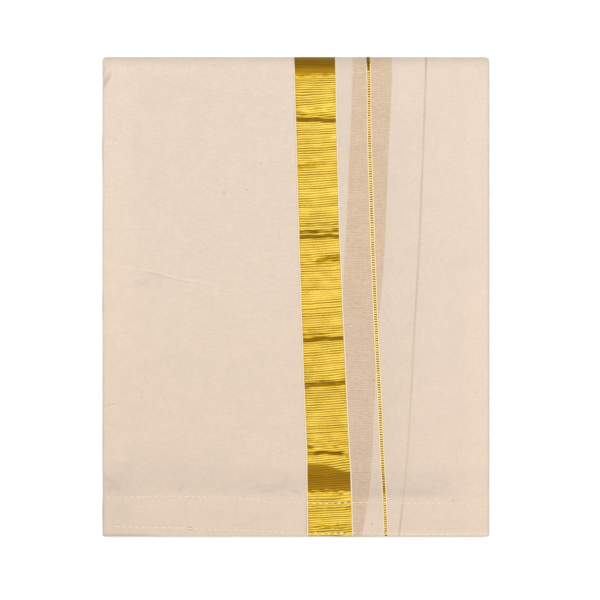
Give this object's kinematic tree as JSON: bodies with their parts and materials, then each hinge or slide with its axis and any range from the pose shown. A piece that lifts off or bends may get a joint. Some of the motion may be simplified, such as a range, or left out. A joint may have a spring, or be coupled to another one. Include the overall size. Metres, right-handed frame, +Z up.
{
  "type": "dhoti cloth, folded flat",
  "caption": "Cream cotton dhoti folded into a flat packet, with a gold zari border down the flap, a thin zari line beside it and a stitched hem.",
  "frame": {"origin": "centre of the packet's footprint, on the surface it lies on", "axes": "+X across the packet towards the flap's folded edge, +Y along it towards the far fold, +Z up"},
  "size_m": [0.254, 0.3152, 0.0143],
  "materials": {
    "cotton": "unbleached cream cotton, plain weave, soft matt",
    "inner_cotton": "the same cotton inside the folds, matt",
    "zari": "gold metallic thread, cross-ribbed, glossy",
    "muted_zari": "the second ply's border, seen dimly through the flap",
    "thread": "cream sewing thread and selvage cords, matt"
  },
  "bodies": {
    "root": {"folded_layers": "inner_cotton", "front_panel": "cotton", "flap_panel": "cotton", "zari_band": "zari", "flap_margin": "cotton", "zari_line": "zari", "inner_zari_band": "muted_zari", "inner_margin": "cotton", "inner_zari_line": "muted_zari"}
  },
  "joints": []
}
